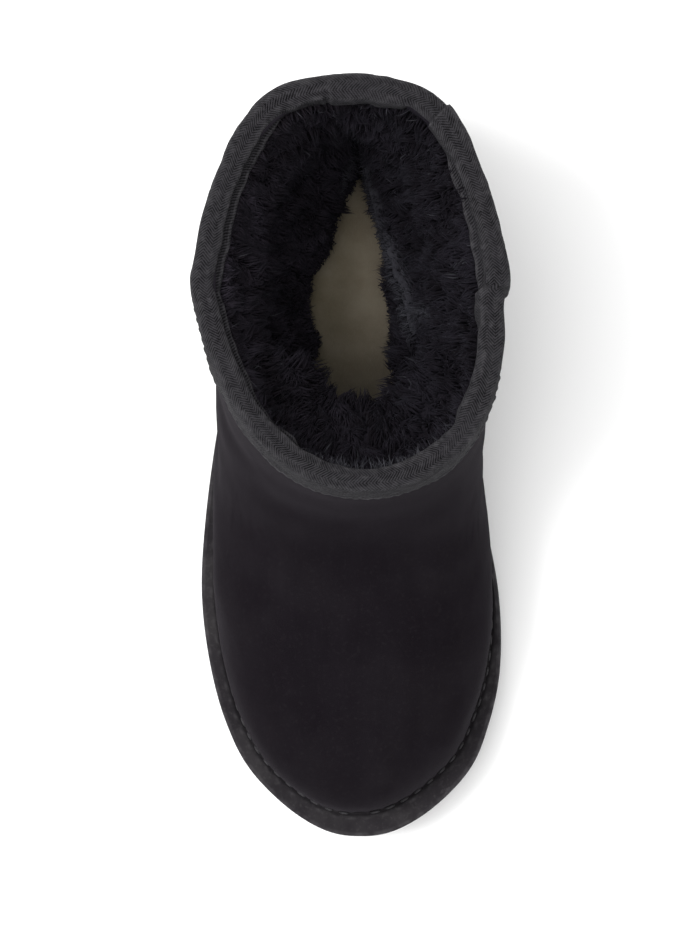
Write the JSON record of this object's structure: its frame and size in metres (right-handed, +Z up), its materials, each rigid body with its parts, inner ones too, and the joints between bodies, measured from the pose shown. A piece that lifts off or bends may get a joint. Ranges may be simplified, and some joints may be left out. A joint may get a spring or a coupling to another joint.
{
  "type": "sheepskin ankle boot",
  "caption": "Low pull-on sheepskin boot with suede outside, fleece lining, taped collar, stitched welt, heel counter and lugged flat sole.",
  "frame": {"origin": "on the ground below the middle of the boot's box, standing on its sole", "axes": "+Z up, -Y toe, +Y heel, +X medial side (big toe) of a right boot"},
  "size_m": [0.1124, 0.268, 0.15],
  "materials": {
    "sole_rubber": "matt moulded black rubber foam",
    "welt_rubber": "satin black rubberised strip, stitched",
    "insole_felt": "cream felt",
    "suede": "black suede outside, dark navy fleece inside",
    "counter_suede": "black suede overlay",
    "binding_tape": "charcoal herringbone tape"
  },
  "bodies": {
    "root": {"outsole": "sole_rubber", "welt": "welt_rubber", "insole": "insole_felt", "upper": "suede", "heel_counter": "counter_suede", "collar_binding": "binding_tape"}
  },
  "joints": []
}
